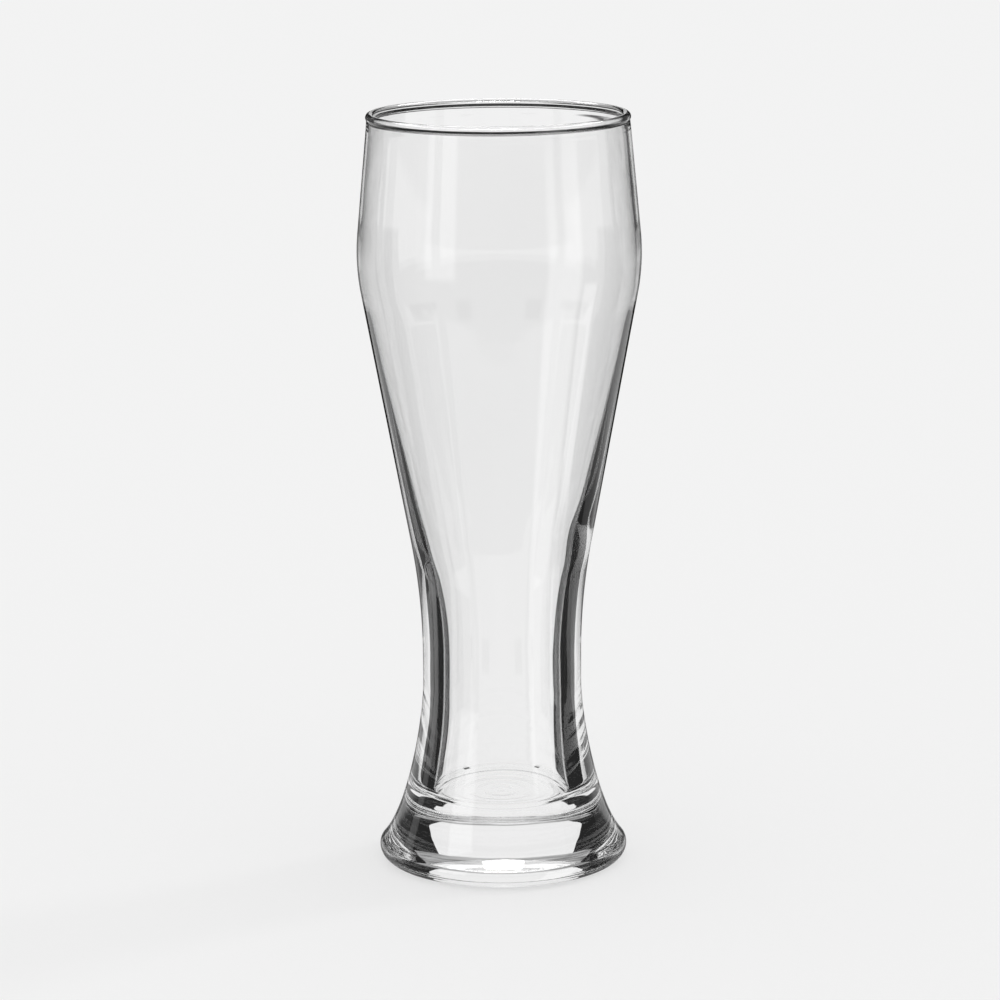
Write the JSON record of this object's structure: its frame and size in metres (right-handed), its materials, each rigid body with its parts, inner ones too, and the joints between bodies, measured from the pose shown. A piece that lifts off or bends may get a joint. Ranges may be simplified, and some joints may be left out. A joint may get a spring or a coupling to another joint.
{
  "type": "weizen glass",
  "caption": "Tall clear wheat-beer glass with a heavy flared foot, a thick narrow waist, a wide belly and a beaded rim, for pouring and drinking half a litre.",
  "frame": {"origin": "centre of the foot, on the surface that the glass stands on", "axes": "+Z is the glass's axis, up through the mouth; the glass is turned, so X and Y are alike"},
  "size_m": [0.0824, 0.0824, 0.222],
  "materials": {
    "clear_glass": "polished, colourless, with the faint waves of blown and pressed glass"
  },
  "bodies": {
    "root": {"foot": "clear_glass", "shank": "clear_glass", "bowl": "clear_glass", "rim_bead": "clear_glass"}
  },
  "joints": []
}
